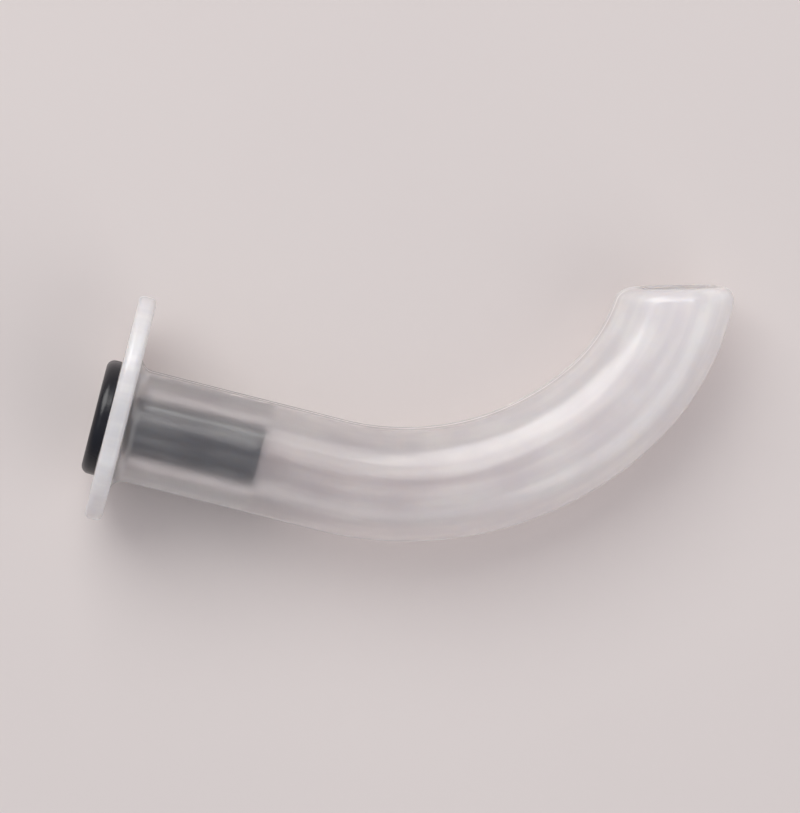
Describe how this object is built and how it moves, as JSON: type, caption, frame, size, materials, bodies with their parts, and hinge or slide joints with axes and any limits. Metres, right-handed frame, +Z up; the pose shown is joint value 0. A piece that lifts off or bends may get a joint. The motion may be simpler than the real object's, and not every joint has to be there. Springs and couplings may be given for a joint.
{
  "type": "oropharyngeal airway",
  "caption": "Curved airway tube in milky polyethylene with a lip flange, bevelled tip and a dark bite block whose sleeve sits in the straight bite portion.",
  "frame": {"origin": "middle of the outer box, on the surface that the airway lies on", "axes": "+X from the collar towards the far side of the bend, +Y the way the tip points, +Z up from the surface, about square to the plane of the bend"},
  "size_m": [0.0574, 0.037, 0.0173],
  "materials": {
    "milky_body": "satin, translucent milky white moulded polyethylene",
    "dark_insert": "satin gloss, black moulded polypropylene"
  },
  "bodies": {
    "root": {"airway_body": "milky_body", "bite_block": "dark_insert"}
  },
  "joints": []
}
